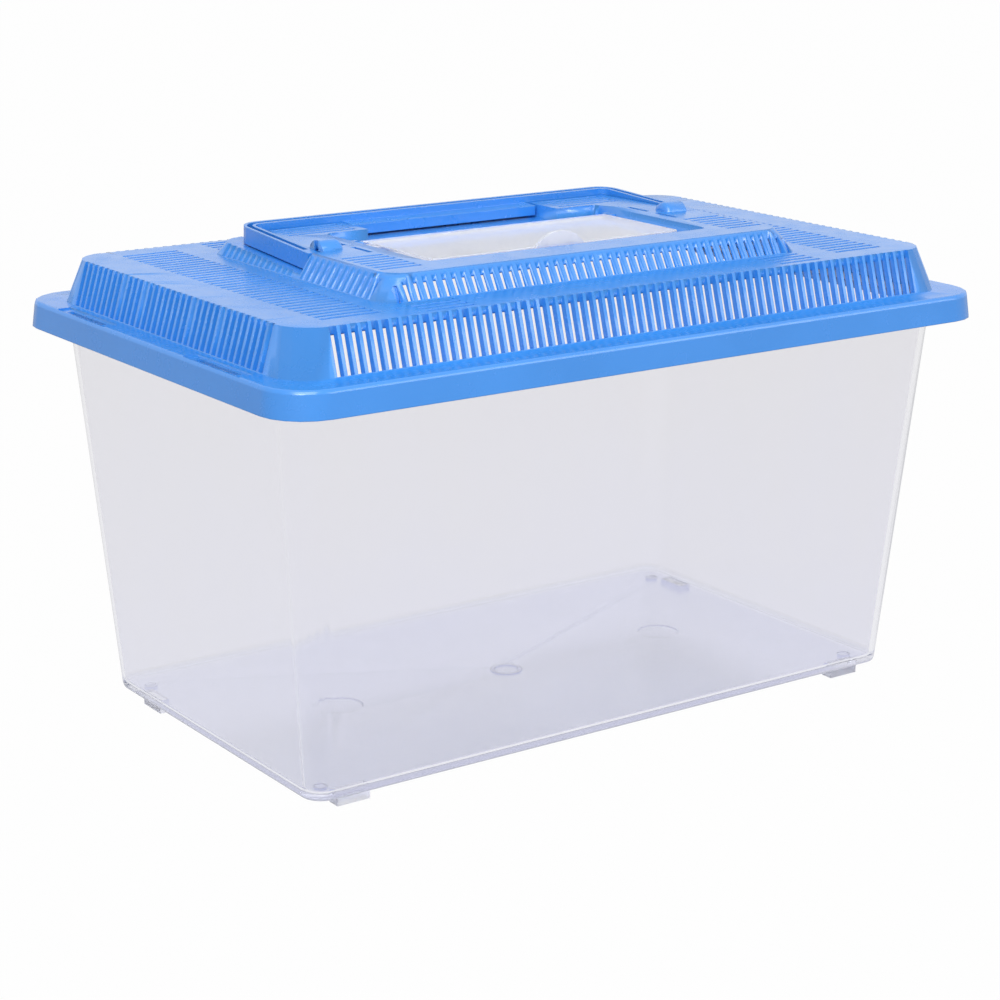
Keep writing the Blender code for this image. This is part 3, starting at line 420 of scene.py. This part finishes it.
def tub_scuffs(tree, place, settings):
    """Roughness in the floor only."""
    in_floor = calculate(tree, "LESS_THAN", axes_of(tree, place)["Z"], settings.scuffs_top)
    return calculate(tree, "MULTIPLY", in_floor, settings.scuffs)


def hatch_tint(tree, place, settings):
    """A faintly milky tint with the cloudiness of a moulding."""
    cloud = grain(tree, place, scale=60.0, detail=4.0)
    dull = tuple(DULL_HATCH * channel for channel in settings.tint)
    return mixed_colour(tree, remap(tree, cloud, 0.0, 1.0), dull, settings.tint)


def hatch_haze_and_highlight(tree, place, settings):
    """A little haze all over, more in the upright finger tab, and white haze along the plate's rim as a painted
    highlight.
    """
    axes = axes_of(tree, place)
    tab = calculate(tree, "GREATER_THAN", axes["Z"], TAB_LOW)
    reach = calculate(tree, "ABSOLUTE", axes["X"], 0.0)
    # White haze in a narrow band along the plate's sides and front is a painted highlight on the rim
    sides = calculate(tree, "GREATER_THAN", reach, HATCH_HIGH.x - HATCH_HIGHLIGHT_RIM)
    front = calculate(tree, "LESS_THAN", axes["Y"], HATCH_LOW.y + HATCH_HIGHLIGHT_RIM)
    rim = calculate(tree, "MAXIMUM", sides, front)
    white = calculate(tree, "MULTIPLY", calculate(tree, "MAXIMUM", tab, rim), settings.tab_haze_and_rim_highlight)
    even = remap(tree, grain(tree, place, scale=40.0, detail=3.0), settings.milk * 0.7, settings.milk * 1.3)
    return calculate(tree, "MAXIMUM", white, even)


# Pieces


def new_piece(name, bm):
    """A new object in the scene, with the faces that a bmesh holds. The bmesh is freed."""
    mesh = bpy.data.meshes.new(name)
    bm.to_mesh(mesh)
    bm.free()
    piece = bpy.data.objects.new(name, mesh)
    bpy.context.scene.collection.objects.link(piece)
    return piece


def finer(node, name, material, bevel=0.0):
    """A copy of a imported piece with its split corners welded, so curved faces shade smoothly, and rounded edges."""
    bm = bmesh.new()
    bm.from_mesh(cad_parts[node].data)
    bmesh.ops.remove_doubles(bm, verts=bm.verts, dist=WELD_DISTANCE)
    bmesh.ops.dissolve_limit(bm, angle_limit=FLAT_ANGLE, verts=bm.verts, edges=bm.edges)
    piece = new_piece(name, bm)
    piece.data.shade_smooth()
    piece.data.set_sharp_from_angle(angle=CRISP_ANGLE)
    piece.data.materials.append(material)
    if bevel:
        rounding = piece.modifiers.new("edge_rounding", "BEVEL")
        rounding.width = bevel
        rounding.segments = 2
        rounding.limit_method = "ANGLE"
        rounding.angle_limit = CRISP_ANGLE
        rounding.use_clamp_overlap = True
    shading = piece.modifiers.new("even_normals", "WEIGHTED_NORMAL")
    shading.keep_sharp = True
    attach(piece, node)
    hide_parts(node)
    return piece


def spaced(low, high, pitch):
    """Places a pitch apart, centred between two ends."""
    count = int((high - low) / pitch + 1.0e-6)
    start = (low + high - count * pitch) / 2
    return [start + index * pitch for index in range(count + 1)]


def open_tier_slots(lid, settings):
    """Cut the tier's slots right through to the inside of its leaning walls."""
    half_length = settings.tier_length / 2
    half_depth = settings.tier_depth / 2
    front = spaced(-half_length + TIER_END_PLAIN, half_length - TIER_END_PLAIN, settings.slot_pitch)
    side = spaced(TIER_SIDE_PLAIN - half_depth, TIER_SIDE_LAST, settings.slot_pitch)
    rows = (
        (FRONT_TURNS, half_depth, front),
        (RIGHT_TURNS, half_length, side),
        (LEFT_TURNS, half_length, [-along for along in side]),
    )
    bm = bmesh.new()
    for quarter_turns, reach, places in rows:
        for along in places:
            place = (
                Matrix.Rotation(quarter_turns * math.pi / 2, 4, "Z")
                @ Matrix.Translation((along, -reach, settings.tier_foot))
                @ Matrix.Rotation(-settings.tier_lean, 4, "X")
            )
            for vert in bmesh.ops.create_cube(bm, size=1.0)["verts"]:
                vert.co = place @ Vector((
                    vert.co.x * settings.slot_width,
                    TIER_SKIN[1] if vert.co.y > 0 else TIER_SKIN[0],
                    TIER_RUN[1] if vert.co.z > 0 else TIER_RUN[0],
                ))
    tools = new_piece("tier_slot_tools", bm)
    cut = lid.modifiers.new("tier_slots", "BOOLEAN")
    cut.operation = "DIFFERENCE"
    cut.solver = "EXACT"
    cut.object = tools
    lid.modifiers.move(len(lid.modifiers) - 1, 0)
    bpy.context.view_layer.update()
    view = bpy.context.evaluated_depsgraph_get()
    opened = bpy.data.meshes.new_from_object(lid.evaluated_get(view))
    lid.modifiers.clear()
    lid.data = opened
    bpy.data.objects.remove(tools)


# Studio


def add_lamp(name, place, size, power):
    """A rectangular soft lamp that points at the middle of the part."""
    lamp = bpy.data.lights.new(name, "AREA")
    lamp.shape = "RECTANGLE"
    lamp.size, lamp.size_y = size
    lamp.energy = power
    piece = bpy.data.objects.new(name, lamp)
    piece.location = place
    piece.rotation_euler = (LAMP_TARGET - Vector(place)).to_track_quat("-Z", "Y").to_euler()
    bpy.context.scene.collection.objects.link(piece)


def seen_directly(tree, gloss_share):
    """1 for rays from the camera or out of clear plastic, a share for rays that a gloss sends on, 0 for the rest."""
    rays = tree.nodes.new("ShaderNodeLightPath")
    direct = calculate(tree, "MAXIMUM", rays.outputs["Is Camera Ray"], rays.outputs["Is Transmission Ray"])
    gloss = calculate(tree, "MULTIPLY", rays.outputs["Is Glossy Ray"], gloss_share)
    return calculate(tree, "MAXIMUM", direct, gloss)


def make_floor(settings):
    """A wide pale table, which cameras, clear plastic and gloss see as nearly white."""
    bm = bmesh.new()
    bmesh.ops.create_grid(bm, x_segments=1, y_segments=1, size=TABLE_REACH)
    floor = new_piece("studio_floor", bm)
    material, tree, shader = new_material("white_table")
    shader.inputs["Base Color"].default_value = TABLE_GREY
    shader.inputs["Roughness"].default_value = TABLE_ROUGHNESS
    white = add_node(tree, "ShaderNodeEmission", Color=WHITE, Strength=1.0)
    share = calculate(tree, "MULTIPLY", seen_directly(tree, settings.floor_gloss), settings.floor_glow)
    blend = mixed_shader(tree, share, shader, white)
    tree.links.new(blend.outputs[0], tree.nodes["Material Output"].inputs["Surface"])
    floor.data.materials.append(material)


def make_sky(settings):
    """Even light from all round, which cameras, clear plastic and gloss see as white."""
    world = bpy.data.worlds.new("studio_sky")
    world.use_nodes = True
    tree = world.node_tree
    even = tree.nodes["Background"]
    even.inputs["Color"].default_value = SKY_COLOUR
    even.inputs["Strength"].default_value = settings.sky
    white = add_node(tree, "ShaderNodeBackground", Color=WHITE, Strength=1.0)
    blend = mixed_shader(tree, seen_directly(tree, 1.0), even, white)
    tree.links.new(blend.outputs[0], tree.nodes["World Output"].inputs["Surface"])
    bpy.context.scene.world = world


def make_camera():
    """The photograph's view: yaw turns from +Y towards +X, pitch looks down, roll turns about the line of sight."""
    ahead = Vector((
        math.sin(CAMERA_YAW) * math.cos(CAMERA_PITCH),
        math.cos(CAMERA_YAW) * math.cos(CAMERA_PITCH),
        -math.sin(CAMERA_PITCH),
    ))
    level = Vector((math.cos(CAMERA_YAW), -math.sin(CAMERA_YAW), 0.0))
    upward = level.cross(ahead)
    right = math.cos(CAMERA_ROLL) * level + math.sin(CAMERA_ROLL) * upward
    up = math.cos(CAMERA_ROLL) * upward - math.sin(CAMERA_ROLL) * level
    data = bpy.data.cameras.new("photo_camera")
    data.sensor_width = SENSOR_MM
    data.lens = CAMERA_FOCAL_PIXELS / PHOTO_PIXELS * SENSOR_MM
    camera = bpy.data.objects.new("photo_camera", data)
    turn = Matrix((right, up, -ahead)).transposed()
    camera.matrix_world = Matrix.Translation(CAMERA_PLACE) @ turn.to_4x4()
    bpy.context.scene.collection.objects.link(camera)
    bpy.context.scene.camera = camera


# Operators


class AQUARIUM_OT_tub(Operator):
    """Dress the clear tub."""

    bl_idname = "aquarium.tub"
    bl_label = "Tub"

    def execute(self, context):
        settings = context.scene.aquarium_tub
        plastic = clear_plastic("clear_tub_polystyrene", settings, tub_tint, tub_milk, tub_scuffs)
        finer("tank", "clear_tub", plastic)
        return {"FINISHED"}


class AQUARIUM_OT_lid(Operator):
    """Dress the vented lid and open its tier's slots."""

    bl_idname = "aquarium.lid"
    bl_label = "Lid"

    def execute(self, context):
        settings = context.scene.aquarium_lid
        plastic = blue_plastic("blue_lid_polypropylene", settings)
        lid = finer("lid", "vented_lid", plastic)
        open_tier_slots(lid, settings)
        return {"FINISHED"}


class AQUARIUM_OT_handle(Operator):
    """Dress the carry handle."""

    bl_idname = "aquarium.handle"
    bl_label = "Handle"

    def execute(self, context):
        plastic = blue_plastic("blue_handle_polypropylene", context.scene.aquarium_lid)
        finer("handle", "carry_handle", plastic)
        return {"FINISHED"}


class AQUARIUM_OT_hatch(Operator):
    """Dress the clear hatch."""

    bl_idname = "aquarium.hatch"
    bl_label = "Hatch"

    def execute(self, context):
        settings = context.scene.aquarium_hatch
        plastic = clear_plastic("clear_hatch_polystyrene", settings, hatch_tint, hatch_haze_and_highlight)
        finer("hatch", "clear_hatch", plastic, settings.rounding)
        return {"FINISHED"}


class AQUARIUM_OT_studio(Operator):
    """Set up the floor, the light and the camera."""

    bl_idname = "aquarium.studio"
    bl_label = "Studio"

    def execute(self, context):
        settings = context.scene.aquarium_studio
        make_floor(settings)
        make_sky(settings)
        for lamp, (place, size) in LAMPS.items():
            add_lamp(f"{lamp}_lamp", place, size, getattr(settings, f"{lamp}_power"))
        make_camera()
        context.scene.view_settings.view_transform = "Standard"
        return {"FINISHED"}


class AQUARIUM_PT_panel(Panel):
    """Lists the aquarium's operators and settings."""

    bl_idname = "AQUARIUM_PT_panel"
    bl_label = "Plastic aquarium"
    bl_space_type = "VIEW_3D"
    bl_region_type = "UI"
    bl_category = "Aquarium"

    def draw(self, context):
        for operator in OPERATORS:
            self.layout.operator(operator.bl_idname)
        for name in SETTINGS:
            box = self.layout.box()
            group = getattr(context.scene, name)
            for label in group.__annotations__:
                box.prop(group, label)


SETTINGS = {
    "aquarium_tub": TubSettings,
    "aquarium_lid": LidSettings,
    "aquarium_hatch": HatchSettings,
    "aquarium_studio": StudioSettings,
}
OPERATORS = (AQUARIUM_OT_tub, AQUARIUM_OT_lid, AQUARIUM_OT_handle, AQUARIUM_OT_hatch, AQUARIUM_OT_studio)
CLASSES = (*SETTINGS.values(), *OPERATORS, AQUARIUM_PT_panel)


def register():
    for group in CLASSES:
        bpy.utils.register_class(group)
    for name, group in SETTINGS.items():
        setattr(bpy.types.Scene, name, PointerProperty(type=group))


def unregister():
    for name in SETTINGS:
        delattr(bpy.types.Scene, name)
    for group in reversed(CLASSES):
        bpy.utils.unregister_class(group)


def main():
    register()
    bpy.ops.aquarium.tub()
    bpy.ops.aquarium.lid()
    bpy.ops.aquarium.handle()
    bpy.ops.aquarium.hatch()
    bpy.ops.aquarium.studio()


if __name__ == "__main__":
    main()
